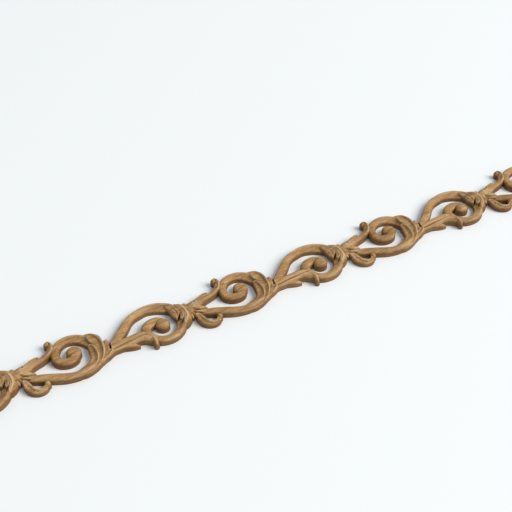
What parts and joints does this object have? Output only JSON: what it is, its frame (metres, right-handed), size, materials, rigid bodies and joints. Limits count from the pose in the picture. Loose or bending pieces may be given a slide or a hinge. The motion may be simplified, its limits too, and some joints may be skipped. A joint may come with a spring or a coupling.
{
  "type": "openwork moulding",
  "caption": "Pierced running moulding of alternating C-scrolls and curling acanthus leaves, carved in the round edge through a thin oak board, flat behind, with square-cut ends.",
  "frame": {"origin": "centre of the bounding box on the flat back, halfway along the run", "axes": "+X along the run, +Y across it towards the side the first scroll of each repeat's upper half stands on, +Z out of the carved face"},
  "size_m": [0.64, 0.0502, 0.01],
  "materials": {
    "oak": "satin"
  },
  "bodies": {
    "root": {"moulding": "oak"}
  },
  "joints": []
}
